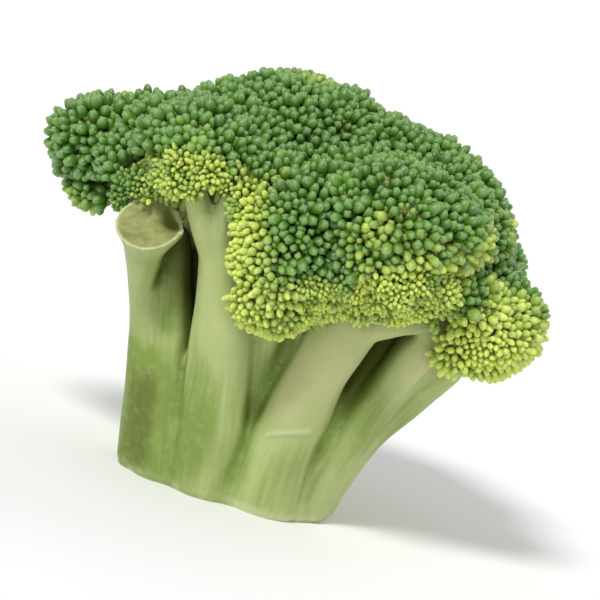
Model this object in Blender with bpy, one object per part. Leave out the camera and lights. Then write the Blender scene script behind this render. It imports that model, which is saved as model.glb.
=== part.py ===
"""A broccoli head as cut for the kitchen: a short fluted stalk that forks into thirteen
branches, each ending in a rounded cluster of flower buds. It stands on its flat cut face.

Metres, +Z up, origin at the middle of the cut face, +Y towards the back of the head.
"""

import math
from dataclasses import dataclass

import bmesh
import bpy
from mathutils import Vector

# Driving dimensions
HEAD_WIDTH = 0.087
HEAD_DEPTH = 0.073
HEAD_HEIGHT = 0.0695
STALK_WIDTH = 0.033
STALK_DEPTH = 0.030
CLEARANCE = 0.00035  # gap left round every branch tip and between two clusters
KNIFE_DEPTH = 0.006  # how far the stalk runs on below the cut face before it is sliced off
KNIFE_BLOCK_HEIGHT = 0.024  # of the block that slices it
CUT_TOLERANCE = 1e-7  # points nearer than this to a cutting plane count as on it

# Height above the cut face and girth, in shares of the cut face's, of the solid trunk between the branches
TRUNK_PROFILE = [(-KNIFE_DEPTH, 1.0), (0.0, 1.0), (0.008, 0.98), (0.015, 0.90), (0.020, 0.70)]
BRANCH_SIDES = 12
BRANCH_RINGS = 7
TRUNK_SIDES = 24
BUD_SUBDIVISIONS = 3  # of the icosahedron that each cluster starts from
SOCKET_SHARE = 0.35  # how far a branch tip reaches into its cluster, in cluster radii
BEND_ACROSS, BEND_UP = 0.30, 0.48  # middle control point of a branch's curve


@dataclass
class Branch:
    """One branch and its bud cluster.

    foot: where it starts on the cut face, in shares of the stalk's half width and depth.
    bud_centre: middle of its cluster, in shares of the head's half width, half depth and height.
    bud_size: the cluster's three radii, in shares of the head's width.
    girth: the branch's radius at foot and at tip, in shares of the stalk's width.
    """

    name: str
    foot: tuple
    bud_centre: tuple
    bud_size: tuple
    girth: tuple


BRANCHES = [
    Branch("top", (0.00, 0.15), (-0.07, 0.11, 0.697), (0.241, 0.230, 0.241), (0.24, 0.2)),
    Branch("top_right", (0.30, 0.07), (0.32, 0.05, 0.684), (0.212, 0.212, 0.218), (0.2, 0.16)),
    Branch("top_left", (-0.36, 0.07), (-0.39, 0.05, 0.669), (0.195, 0.195, 0.201), (0.2, 0.16)),
    Branch("left", (-0.70, -0.31), (-0.55, -0.19, 0.705), (0.138, 0.138, 0.126), (0.17, 0.12)),
    Branch("front_left", (-0.16, -0.63), (-0.41, -0.38, 0.762), (0.149, 0.138, 0.115), (0.165, 0.12)),
    Branch("front", (0.10, -0.50), (-0.02, -0.60, 0.638), (0.132, 0.119, 0.184), (0.1, 0.075)),
    Branch("front_right", (0.42, -0.55), (0.32, -0.47, 0.719), (0.207, 0.184, 0.161), (0.2, 0.18)),
    Branch("right", (0.68, -0.20), (0.76, -0.20, 0.568), (0.138, 0.144, 0.121), (0.165, 0.13)),
    Branch("right_back", (0.68, 0.30), (0.59, 0.26, 0.619), (0.147, 0.156, 0.145), (0.16, 0.13)),
    Branch("back_right", (0.40, 0.62), (0.35, 0.63, 0.619), (0.173, 0.161, 0.161), (0.17, 0.135)),
    Branch("back", (0.00, 0.68), (0.00, 0.74, 0.605), (0.161, 0.138, 0.161), (0.17, 0.135)),
    Branch("back_left", (-0.42, 0.60), (-0.35, 0.63, 0.619), (0.173, 0.161, 0.161), (0.17, 0.135)),
    Branch("left_back", (-0.70, 0.25), (-0.68, 0.17, 0.660), (0.147, 0.159, 0.145), (0.16, 0.125)),
]


def material(name, colour, roughness):
    made = bpy.data.materials.new(name)
    made.use_nodes = True
    shader = made.node_tree.nodes["Principled BSDF"]
    shader.inputs["Base Color"].default_value = (*colour, 1.0)
    shader.inputs["Roughness"].default_value = roughness
    shader.inputs["Metallic"].default_value = 0.0
    return made


def object_from(name, mesh_builder, finish=None):
    """Links a new object whose mesh is the closed bmesh given, with its faces pointing out."""
    bmesh.ops.recalc_face_normals(mesh_builder, faces=mesh_builder.faces)
    mesh = bpy.data.meshes.new(name)
    mesh_builder.to_mesh(mesh)
    mesh_builder.free()
    made = bpy.data.objects.new(name, mesh)
    bpy.context.scene.collection.objects.link(made)
    if finish:
        mesh.materials.append(finish)
    return made


def as_cutter(helper):
    helper.hide_render = True
    helper.display_type = "WIRE"
    return helper


def boolean(target, helper, operation):
    modifier = target.modifiers.new(f"{operation.lower()}_{helper.name}", "BOOLEAN")
    modifier.operation = operation
    modifier.solver = "EXACT"
    modifier.object = helper


def lofted(rings):
    """A closed bmesh through rings of points, each ring joined to the next, with both ends filled."""
    built = bmesh.new()
    loops = [[built.verts.new(point) for point in points] for points in rings]
    for lower, upper in zip(loops, loops[1:]):
        for i in range(len(lower)):
            j = (i + 1) % len(lower)
            built.faces.new((lower[i], lower[j], upper[j], upper[i]))
    built.faces.new(list(reversed(loops[0])))
    built.faces.new(loops[-1])
    return built


def ring(centre, direction, radius_x, radius_y, sides):
    """Points round centre, on an ellipse square to direction, starting on the +X side."""
    along = direction.normalized()
    side = Vector((0, 1, 0)).cross(along).normalized()
    other = along.cross(side)
    turns = [2 * math.pi * i / sides for i in range(sides)]
    return [
        centre + side * radius_x * math.cos(turn) + other * radius_y * math.sin(turn)
        for turn in turns
    ]


def bud_middle(branch):
    return Vector(
        (
            branch.bud_centre[0] * HEAD_WIDTH / 2,
            branch.bud_centre[1] * HEAD_DEPTH / 2,
            branch.bud_centre[2] * HEAD_HEIGHT,
        )
    )


def bud_radii(branch):
    return Vector(branch.bud_size) * HEAD_WIDTH


def branch_curve(branch):
    """Foot, bend and tip of a branch: it leaves the cut face steeply and leans out to its cluster."""
    foot = Vector((branch.foot[0] * STALK_WIDTH / 2, branch.foot[1] * STALK_DEPTH / 2, 0))
    middle = bud_middle(branch)
    towards = (foot + Vector((0, 0, middle.z / 2)) - middle).normalized()
    tip = middle + towards * bud_radii(branch).z * (1 - SOCKET_SHARE)
    bend = foot.lerp(tip, BEND_ACROSS)
    bend.z = tip.z * BEND_UP
    return foot, bend, tip


def branch_rings(branch, extra):
    """Rings along the branch's curve, extra metres wider than the branch, from below the cut to its tip."""
    foot, bend, tip = branch_curve(branch)
    rings = []
    for step in range(BRANCH_RINGS):
        t = step / (BRANCH_RINGS - 1)
        centre = foot * (1 - t) ** 2 + bend * 2 * t * (1 - t) + tip * t**2
        direction = (bend - foot) * (1 - t) + (tip - bend) * t
        share = branch.girth[0] + (branch.girth[1] - branch.girth[0]) * t
        radius = share * STALK_WIDTH + extra
        if step == 0:
            centre = centre - Vector((0, 0, KNIFE_DEPTH))
            direction = Vector((0, 0, 1))
        if step == BRANCH_RINGS - 1:
            centre = centre + direction.normalized() * extra
        rings.append(ring(centre, direction, radius, radius, BRANCH_SIDES))
    return rings


def trunk_rings():
    """The solid part of the stalk, an ellipse that narrows as the branches take over."""
    up = Vector((0, 0, 1))
    return [
        ring(Vector((0, 0, z)), up, share * STALK_WIDTH / 2, share * STALK_DEPTH / 2, TRUNK_SIDES)
        for z, share in TRUNK_PROFILE
    ]


def add_stalk(finish):
    """The trunk joined with every branch, then sliced flat at Z = 0."""
    stalk = object_from("stalk", lofted(trunk_rings()), finish)
    for branch in BRANCHES:
        limb = object_from(f"limb_{branch.name}", lofted(branch_rings(branch, 0)))
        boolean(stalk, as_cutter(limb), "UNION")
    block = bmesh.new()
    bmesh.ops.create_cube(block, size=1.0)
    size = Vector((HEAD_WIDTH, HEAD_DEPTH, KNIFE_BLOCK_HEIGHT))
    bmesh.ops.scale(block, vec=size, verts=block.verts)
    bmesh.ops.translate(block, vec=Vector((0, 0, -size.z / 2)), verts=block.verts)
    boolean(stalk, as_cutter(object_from("knife", block)), "DIFFERENCE")
    return stalk


def clip(built, point, normal):
    """Cuts away what lies past the plane and closes the cut with one flat face."""
    whole = built.verts[:] + built.edges[:] + built.faces[:]
    cut = bmesh.ops.bisect_plane(
        built, geom=whole, plane_co=point, plane_no=normal, clear_outer=True, dist=CUT_TOLERANCE
    )
    edges = [e for e in cut["geom_cut"] if isinstance(e, bmesh.types.BMEdge)]
    if edges:
        bmesh.ops.contextual_create(built, geom=edges)


def add_bud_cluster(branch, clearances, finish):
    """An ellipsoid flattened where it presses on its neighbours and hollowed where branches enter."""
    centre, radii = bud_middle(branch), bud_radii(branch)
    built = bmesh.new()
    bmesh.ops.create_icosphere(built, subdivisions=BUD_SUBDIVISIONS, radius=1.0)
    bmesh.ops.scale(built, vec=radii, verts=built.verts)
    bmesh.ops.translate(built, vec=centre, verts=built.verts)
    for other in BRANCHES:
        if other is branch:
            continue
        across = bud_middle(other) - centre
        own, theirs = sum(radii) / 3, sum(bud_radii(other)) / 3
        gap = across.length
        if gap < own + theirs:
            share = (gap**2 + own**2 - theirs**2) / (2 * gap**2)
            normal = across.normalized()
            clip(built, centre + across * share - normal * CLEARANCE / 2, normal)
    cluster = object_from(f"buds_{branch.name}", built, finish)
    for clearance in clearances:
        boolean(cluster, clearance, "DIFFERENCE")
    return cluster


def main():
    for old in list(bpy.data.objects):
        bpy.data.objects.remove(old)
    stem_green = material("stem_green", (0.36, 0.44, 0.15), 0.45)
    bud_green = material("bud_green", (0.10, 0.20, 0.04), 0.60)
    add_stalk(stem_green)
    clearances = [
        as_cutter(object_from(f"clear_{b.name}", lofted(branch_rings(b, CLEARANCE)))) for b in BRANCHES
    ]
    for branch in BRANCHES:
        add_bud_cluster(branch, clearances, bud_green)


main()
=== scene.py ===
import bmesh
import bpy
import numpy as np
from mathutils import Matrix, Vector
from mathutils.bvhtree import BVHTree
from mathutils.kdtree import KDTree


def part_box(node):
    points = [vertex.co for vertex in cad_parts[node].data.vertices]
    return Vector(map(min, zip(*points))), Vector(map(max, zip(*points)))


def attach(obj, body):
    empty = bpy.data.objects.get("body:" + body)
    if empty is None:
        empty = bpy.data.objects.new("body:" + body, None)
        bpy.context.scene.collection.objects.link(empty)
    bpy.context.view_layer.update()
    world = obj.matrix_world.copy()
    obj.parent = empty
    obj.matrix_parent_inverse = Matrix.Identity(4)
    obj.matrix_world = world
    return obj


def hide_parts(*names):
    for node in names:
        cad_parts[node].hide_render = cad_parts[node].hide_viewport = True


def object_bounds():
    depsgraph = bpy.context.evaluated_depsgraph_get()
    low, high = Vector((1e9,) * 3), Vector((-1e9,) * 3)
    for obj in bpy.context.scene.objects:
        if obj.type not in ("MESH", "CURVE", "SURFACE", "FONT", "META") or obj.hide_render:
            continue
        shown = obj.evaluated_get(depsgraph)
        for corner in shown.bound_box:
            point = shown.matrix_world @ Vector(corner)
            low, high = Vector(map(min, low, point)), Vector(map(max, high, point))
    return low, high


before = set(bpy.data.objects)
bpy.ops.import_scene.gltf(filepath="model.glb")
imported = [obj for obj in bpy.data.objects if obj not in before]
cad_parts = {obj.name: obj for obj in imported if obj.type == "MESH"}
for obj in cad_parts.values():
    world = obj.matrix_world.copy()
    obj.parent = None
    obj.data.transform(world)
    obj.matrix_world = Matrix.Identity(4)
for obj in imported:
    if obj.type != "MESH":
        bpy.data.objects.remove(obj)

# Every size in this file is in millimetres on a head 69.4 mm high, and mm turns it into the frame's metres
cadBox = [list(corner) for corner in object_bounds()]
heightDrawn = 69.4
mm = (cadBox[1][2] - cadBox[0][2]) / heightDrawn
goldenAngle = np.pi * (3 - np.sqrt(5))
print(f"frame loaded, one drawn millimetre is {mm:.6f} m")


# Small vector tools on whole arrays

def unit(v):
    # each row divided by its own length
    return v / np.maximum(np.linalg.norm(v, axis=-1, keepdims=True), 1e-12)


def smoothStep(low, high, x):
    # 0 below low, 1 above high, and the curve t*t*(3-2t) between them
    t = np.clip((x - low) / (high - low), 0, 1)
    return t * t * (3 - 2 * t)


def acrossAxes(axis):
    # two directions square to each axis: the axis crossed with whichever of X and Z it leans on less,
    # and the axis crossed with that
    helper = np.where(np.abs(axis[..., 2:3]) < 0.9, [0.0, 0.0, 1.0], [1.0, 0.0, 0.0])
    first = unit(np.cross(helper, axis))
    return first, np.cross(axis, first)


def spiralDirections(count):
    # point i sits at height 1-(2i+1)/n on the unit ball and is turned i golden angles round it
    i = np.arange(count)
    height = 1 - (2 * i + 1) / count
    level = np.sqrt(1 - height**2)
    turn = i * goldenAngle
    return np.stack([level * np.cos(turn), level * np.sin(turn), height], axis=1)


def bezier(points, steps):
    # points (n, 3 or 4, 3): the Bernstein sum of the control points at even values of t
    t = np.linspace(0, 1, steps)[None, :, None]
    p = points[:, :, None, :]
    if points.shape[1] == 3:
        return p[:, 0] * (1 - t)**2 + p[:, 1] * 2 * t * (1 - t) + p[:, 2] * t**2
    return (p[:, 0] * (1 - t)**3 + p[:, 1] * 3 * t * (1 - t)**2
            + p[:, 2] * 3 * t**2 * (1 - t) + p[:, 3] * t**3)


def nearStretch(points, start, end, reach):
    # exp(-(d / reach)^2) with d the distance from each point to the line from start to end
    start, end = np.array(start), np.array(end)
    along = end - start
    t = np.clip((points - start) @ along / (along @ along), 0, 1)
    away = np.linalg.norm(points - start - t[:, None] * along, axis=1)
    return np.exp(-(away / reach)**2)


def stretchesAt(points, stretches):
    # for each stretch its amount times how near the points are to it
    return np.stack([amount * nearStretch(points, start, end, reach)
                     for start, end, reach, amount in stretches])


def softNoise(points, size, seed):
    # sum of twelve sine waves in random directions, wavelengths near size, scaled to about -1..1
    waves = np.random.default_rng(seed)
    directions = unit(waves.normal(size=(12, 3))) * (2 * np.pi / (size * waves.uniform(0.7, 1.5, (12, 1))))
    return np.sin(points @ directions.T + waves.uniform(0, 2 * np.pi, 12)).sum(axis=1) / 3.5


def alongLine(corners, share):
    # the point at each share of the way along a line through the corners, evenly between them
    corners = np.array(corners, float)
    at = np.linspace(0, 1, len(corners))
    return np.stack([np.interp(share, at, column) for column in corners.T], axis=1)


def inBlocks(work, rows, size=4000):
    # the same work done on a block of rows at a time, so that the arrays of distances stay small
    return np.concatenate([work(rows[start:start + size]) for start in range(0, len(rows), size)])


# Mesh tools

def newObject(name, data):
    made = bpy.data.objects.new(name, data)
    bpy.context.scene.collection.objects.link(made)
    return made


def placePoints(mesh, points):
    # writes points in millimetres into the mesh in metres
    mesh.vertices.foreach_set("co", (points * mm).astype(np.float32).ravel())


def ringFaces(rings, around):
    # quads between neighbouring rings of points, and fans that close the first ring on the point that follows
    # the last ring, and the last ring on the one after that; they face out where rings climb and turn
    # anticlockwise
    j, k = np.meshgrid(np.arange(rings - 1), np.arange(around), indexing="ij")
    after = (k + 1) % around
    quads = np.stack([j * around + k, j * around + after, (j + 1) * around + after, (j + 1) * around + k], -1)
    k, after, last = k[0], after[0], (rings - 1) * around
    foot, tip = np.full(around, rings * around), np.full(around, rings * around + 1)
    fans = np.concatenate([np.stack([foot, after, k], -1), np.stack([tip, last + k, last + after], -1)])
    return quads.reshape(-1, 4), fans


def turnedOver(quads, fans):
    # the same faces seen from the other side
    return quads[:, [0, 3, 2, 1]], fans[:, [0, 2, 1]]


def makePiece(name, points, quads, triangles, values=None):
    # points in millimetres become one smooth mesh, values are written as point attributes
    mesh = bpy.data.meshes.new(name)
    mesh.vertices.add(len(points))
    placePoints(mesh, points)
    corners = np.concatenate([quads.ravel(), triangles.ravel()]).astype(np.int32)
    sizes = np.concatenate([np.full(len(quads), 4), np.full(len(triangles), 3)]).astype(np.int32)
    mesh.loops.add(len(corners))
    mesh.loops.foreach_set("vertex_index", corners)
    mesh.polygons.add(len(sizes))
    mesh.polygons.foreach_set("loop_start", (np.cumsum(sizes) - sizes).astype(np.int32))
    mesh.polygons.foreach_set("loop_total", sizes)
    mesh.update(calc_edges=True)
    mesh.shade_smooth()
    for key, value in (values or {}).items():
        writeValue(mesh, key, value)
    return newObject(name, mesh)


def writeValue(mesh, key, value):
    # three numbers a point are stored as a vector, one number as a float
    kind, field = ("FLOAT_VECTOR", "vector") if value.ndim == 2 else ("FLOAT", "value")
    mesh.attributes.new(key, kind, "POINT").data.foreach_set(field, value.astype(np.float32).ravel())


def tubes(paths, radii, sides):
    # n tubes at once: ring j of a tube is a circle of radius radii[:, j] round paths[:, j], square to the
    # path, and both ends close on a point at the path's own end. Gives points, quads and triangles
    count, steps, _ = paths.shape
    along = unit(np.gradient(paths, axis=1))
    reference, _ = acrossAxes(unit(paths[:, -1] - paths[:, 0]))
    side = unit(reference[:, None] - along * (reference[:, None] * along).sum(-1, keepdims=True))
    other = np.cross(along, side)
    turn = np.arange(sides) * 2 * np.pi / sides
    ring = side[:, :, None] * np.cos(turn)[:, None] + other[:, :, None] * np.sin(turn)[:, None]
    skin = paths[:, :, None] + ring * radii[:, :, None, None]
    points = np.concatenate([skin.reshape(count, -1, 3), paths[:, :1], paths[:, -1:]], axis=1)
    return points.reshape(-1, 3), *repeatFaces(ringFaces(steps, sides), count, steps * sides + 2)


def repeatFaces(faces, count, stride):
    # quads and triangles of one shape, repeated for count shapes whose points follow each other
    shift = (np.arange(count) * stride)[:, None, None]
    return [(kind[None] + shift).reshape(-1, kind.shape[1]) for kind in faces]


def joined(parts):
    # points, quads and triangles of several shapes as those of one
    shift = np.cumsum([0] + [len(part[0]) for part in parts])
    return (np.concatenate([part[0] for part in parts]),
            np.concatenate([part[1] + start for part, start in zip(parts, shift)]),
            np.concatenate([part[2] + start for part, start in zip(parts, shift)]))


# The crown's outer surface, felt from the CAD clusters

crown = {
    "heart": (0.5, 1.0, 31.0),    # every direction is measured from here, inside the crown
    "feelers": 5200,              # directions in which the CAD surface is felt
    "blend": 0.085,               # how far, in radians, one cluster's surface flows into the next
    "fill": 4,                    # higher keeps the grooves between clusters shallower
    "inset": 1.0,                 # depth of the bud bases' surface below the CAD surface
    "touching": 0.9975,           # cosine of the angle within which a direction counts as felt
    "step": 0.02,                 # how far to either side the surface is felt for its normal, in radians
    # places where the crown stands out further, or less far, and by how much
    "swells": [((-44, 0, 52), 3.3), ((-26, 0, 60), -1.1), ((-14, 0, 68), 1.3), ((9, 0, 69), 1.3),
               ((32, -2, 59), 3.2)],
    "swellSize": 0.19,            # in radians
    # furrows between parts of the crown: two ends, how far to each side it sinks, in radians, and how deep
    "furrows": [((23.5, -22.5, 48), (35, -9, 50.5), 0.060, 3),
                ((-31, -19, 50.5), (-33.5, 8, 57), 0.070, 3.8),
                ((-9, -21, 61), (-6, -25, 55), 0.045, 1.6)],
    "inFurrow": 0.8,              # no small head sits where a furrow is deeper than this
    "umbels": 330,                # small heads over a whole ball, of which those on the crown are kept
    "umbelJitter": 0.03,
    "curve": (5.4, 7.0),          # radius of a small head's dome, smallest and largest
    "below": (0.2, -0.5),         # upward shares of a head's normal between which its dome gets smaller
    "smallerBelow": 0.25,
    "lift": 0.45,                 # how unevenly the small heads stand out
    "finer": 0.38,                # how much smaller the buds are where they are yellow
}

clusterNames = [name for name in sorted(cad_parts) if name.startswith("buds_")]

# Where each cluster's buds stop below: a share of the cluster's height above its lowest point
skirts = {
    "buds_front_left": 0.50, "buds_left": 0.22, "buds_front": 0.03, "buds_front_right": 0.04,
    "buds_right": 0.10, "buds_left_back": 0.16, "buds_top_left": 0.45, "buds_top": 0.3, "buds_top_right": 0.3,
    "buds_right_back": 0.14, "buds_back_right": 0.14, "buds_back": 0.12, "buds_back_left": 0.14,
}

# Where the crown is pared away at the front, so that young buds and bare limbs show: the corners of each
# opening in X and Z, the line that its sprigs spring from, the line in X and Z above which its young heads
# sit, how ripe they are, how far they lie behind the crown's surface, and the line of further young heads
# that hang over a cut limb
openings = {
    "overLeftLimbs": {
        "corners": [(-29.5, 20), (-29.5, 49.5), (-24, 52.5), (-16, 55), (-12, 52.5), (-10.6, 44), (-7.3, 36),
                    (-4.2, 28.5), (-4.2, 20)],
        "feet": [(-26.5, -8.5, 38), (-21.5, -8.5, 41), (-17, -14.5, 44), (-11.5, -17.5, 43)],
        "above": [(-31, 40), (-27, 42.4), (-24, 43.6), (-20, 45.6), (-18, 48), (-15, 50.2), (-12.8, 49),
                  (-11, 45)],
        "ripe": (0.45, 0.66), "behind": 0.6,
        "fringe": [(-27, -15.6, 45.2), (-24.5, -16.4, 46.2), (-21.5, -17, 47.2), (-18.4, -18.2, 48.6)],
    },
    "overFrontLimb": {
        "corners": [(5.5, 26), (3.7, 37.5), (2, 41.4), (8, 42.6), (14, 45.2), (25.5, 48.6), (27, 45),
                    (24.5, 36), (16, 26)],
        "feet": [(8.4, -14.6, 31.5), (11.5, -15.6, 34.5), (16, -15.8, 37), (20.5, -15, 39.5)],
        "above": [(3, 31), (6.5, 31.5), (13, 34.2), (16, 35.8), (20, 37.6), (23, 39), (26, 40.6)],
        "ripe": (0.45, 0.95), "behind": 0.6,
    },
}
young = {
    "heads": 3600,            # over a whole ball, of which those in the openings are kept
    "jitter": 0.012,
    "curve": (1.9, 2.7),
    "scale": 0.50,            # size of a young bud as a share of a ripe one's
    "lift": 0.5,
    # the heads that hang over the cut limb: how many, which way they face, unevenness in place and in facing
    "fringeHeads": 8, "fringeFacing": (-0.15, -0.85, -0.35), "fringeAstray": 0.35, "fringeTurned": 0.15,
}

# Buds turn yellow as they ripen: between which heights and which upward shares of their axis, how much each
# of the two adds, and what share of the first stays on buds that face up. Then the size and strength of an
# even mottle, and of patches with the range of the noise over which they come in
ripening = {
    "heights": (46, 32), "facings": (0.15, -0.55), "low": 0.5, "down": 0.3, "lowLeast": 0.3,
    "mottle": 12, "mottled": 0.10, "patch": 16, "patched": 0.22, "patchFrom": (0.2, 1),
}
# Where they are yellower: two ends of a stretch of crown, how far the colour reaches from it, and how much
yellowStretches = [
    ((-11.7, -26, 51.5), (-2.2, -26, 30), 6.6, 0.92),
    ((-2, -29, 39), (3, -29, 36), 4, 0.75),
    ((33, -16, 37), (41, -8, 36), 8, 1),
    ((4, -31, 43), (26, -27, 49), 2.6, 0.60),
    ((-28, -20, 50), (-14, -25, 55.5), 2.6, 0.40),
    ((12, -28, 53), (17, -27, 51), 4, 0.35),
    ((19, -27, 47), (27, -19.5, 51.5), 4.2, 0.75),
    ((27, -17, 35.5), (33, -16, 38), 4.5, 0.85),
    ((28, -15, 41), (31, -13, 45), 4, 0.55),
    ((0.5, -29.5, 45.5), (2.5, -29.5, 44.5), 2.4, 0.40),
]
# Where they are greener, in the same terms
greenStretches = [
    ((-34, -14, 40), (-40, -2, 46), 8, 0.50),
    ((-40, -8, 52), (-32, -10, 62), 8, 0.35),
    ((-7.5, -24, 58), (-5, -26, 55), 4.5, 0.30),
    ((-31, -15, 44), (-30, -17, 50), 2.6, 0.40),
    ((31, -15, 33.5), (34.5, -15, 31.5), 2.6, 0.30),
    ((5, -30, 45), (9.5, -30, 44.5), 2.4, 0.40),
    ((-14, -8, 67), (8, -8, 68.5), 8, 0.25),
    ((-22.5, -18, 59), (-17, -19, 60), 4.5, 0.25),
    ((-9.5, -25.5, 47.5), (-6.5, -26, 43), 2.5, 0.18),
]
# Where they are darker (above 0), mostly painted shade in a furrow, under the lobes and low on the crown's
# left and right, or lighter (below 0)
budShadeStretches = [
    ((5, -30, 45), (9.5, -30, 44.5), 2.4, 0.40),
    ((-9.5, -25.5, 47.5), (-6.5, -26, 43), 2.5, 0.30),
    ((33, -15, 41), (36, -13, 39), 4, -0.45),
    ((-14, -24, 44), (-10, -27, 36), 3, 0.25),
    ((-8.5, -23, 60), (-6, -25, 56), 4, 0.50),
    ((-31, -15, 44), (-30, -17, 50), 2.6, 0.40),
    ((31, -15, 33.5), (34.5, -15, 31.5), 2.6, 0.50),
    ((28, -15, 41), (31, -13, 45), 3.5, 0.35),
    ((-40, -6, 50), (-35, -8, 40), 6, 0.30),
]


def yellowness(place, axis):
    # low buds that face down are yellower; the yellow stretches lift that to their own amount, and the green
    # ones take away from it
    low = smoothStep(*ripening["heights"], place[:, 2])
    facingDown = smoothStep(*ripening["facings"], axis[:, 2])
    least = ripening["lowLeast"]
    amount = ripening["low"] * low * (least + (1 - least) * facingDown) + ripening["down"] * facingDown
    amount = np.maximum(amount, stretchesAt(place, yellowStretches).max(axis=0))
    amount += ripening["mottled"] * softNoise(place, ripening["mottle"], 5)
    amount += ripening["patched"] * smoothStep(*ripening["patchFrom"], softNoise(place, ripening["patch"], 6))
    return amount - stretchesAt(place, greenStretches).sum(axis=0)


def pared(points, among=openings.values()):
    # a point at the front is inside an opening when a line from it towards +X crosses the outline an odd
    # number of times; the outline wanders by about a millimetre over every 5 mm
    inside = np.zeros(len(points), bool)
    x = points[:, 0, None] + softNoise(points, 5, 40)[:, None]
    z = points[:, 2, None] + softNoise(points, 5, 41)[:, None]
    for opening in among:
        x0, z0 = np.array(opening["corners"], float).T
        x1, z1 = np.roll(x0, -1), np.roll(z0, -1)
        rise = np.where(z1 == z0, 1.0, z1 - z0)
        crosses = ((z > z0) != (z > z1)) & (x < x0 + (z - z0) * (x1 - x0) / rise)
        inside |= (crosses.sum(axis=1) % 2 == 1) & (points[:, 1] < -5)
    return inside


def aboveLine(points, corners):
    # whether each point is higher than the line through the corners in X and Z
    x, z = np.array(corners).T
    return points[:, 2] > np.interp(points[:, 0], x, z)


def feelCrown():
    # one ray inwards along each direction, from outside to the heart: the first CAD cluster that it meets
    # gives the reach in that direction and the owner of the surface there
    points, triangles, owners = [], [], []
    for index, name in enumerate(clusterNames):
        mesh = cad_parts[name].data
        start = len(points)
        points += [vertex.co / mm for vertex in mesh.vertices]
        triangles += [[start + i for i in polygon.vertices] for polygon in mesh.polygons]
        owners += [index] * len(mesh.polygons)
    tree = BVHTree.FromPolygons(points, triangles)
    heart = Vector(crown["heart"])
    directions = spiralDirections(crown["feelers"])
    reach, owner = np.zeros(len(directions)), np.full(len(directions), -1)
    for i, direction in enumerate(directions):
        away = Vector(direction)
        place, _, triangle, _ = tree.ray_cast(heart + away * 100, -away, 100)
        if triangle is not None:
            reach[i], owner[i] = (place - heart).length, owners[triangle]
    return directions[owner >= 0], reach[owner >= 0], owner[owner >= 0]


feltDirections, feltReach, feltOwner = feelCrown()


def furrowDepth(directions):
    # the deepest furrow along each direction; at d from its line it is exp(-(d / reach)^2) of its depth
    heart = np.array(crown["heart"])
    lines = [(unit(start - heart), unit(end - heart), reach, depth)
             for start, end, reach, depth in crown["furrows"]]
    return stretchesAt(directions, lines).max(axis=0)


def crownReach(directions):
    # power mean of the felt reaches, weighted by exp((cos a - 1) / blend^2) with a the angle between, plus
    # the swells and less the furrows
    def feltReachIn(block):
        weight = np.exp((block @ feltDirections.T - 1) / crown["blend"]**2)
        return (weight @ feltReach**crown["fill"] / np.maximum(weight.sum(1), 1e-9))**(1 / crown["fill"])

    reach = inBlocks(feltReachIn, directions)
    for place, amount in crown["swells"]:
        towards = unit(np.array(place, float) - crown["heart"])
        reach += amount * np.exp((directions @ towards - 1) / crown["swellSize"]**2)
    return reach - furrowDepth(directions) - crown["inset"]


def touchingCrown(directions):
    # which directions meet the CAD crown, and the cluster that each of those meets
    nearest = inBlocks(lambda block: np.argmax(block @ feltDirections.T, axis=1), directions)
    touching = (directions * feltDirections[nearest]).sum(1) > crown["touching"]
    return touching, feltOwner[nearest[touching]]


def crownSurface(directions):
    # the point at the crown's reach along each direction, and the surface's normal there from two
    # neighbouring points a little to either side
    heart = np.array(crown["heart"])
    first, second = acrossAxes(directions)
    here = directions * crownReach(directions)[:, None]
    beside, above = unit(directions + first * crown["step"]), unit(directions + second * crown["step"])
    one = beside * crownReach(beside)[:, None] - here
    two = above * crownReach(above)[:, None] - here
    return here + heart, unit(np.cross(one, two))


def placeHeads(count, jitter, dice):
    # small heads in a golden spiral over the crown, each owned by the nearest felt direction's cluster
    directions = spiralDirections(count)
    directions = unit(directions + dice.normal(size=directions.shape) * jitter)
    touching, owner = touchingCrown(directions)
    place, normal = crownSurface(directions[touching])
    return place, normal, owner


def hangingHeads(opening, dice):
    # a row of young heads along the opening's fringe, if it has one, and the way each faces
    if "fringe" not in opening:
        return np.zeros((0, 3)), np.zeros((0, 3))
    place = alongLine(opening["fringe"], (np.arange(young["fringeHeads"]) + 0.5) / young["fringeHeads"])
    place += dice.normal(size=place.shape) * young["fringeAstray"]
    return place, unit(young["fringeFacing"] + dice.normal(size=place.shape) * young["fringeTurned"])


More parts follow.
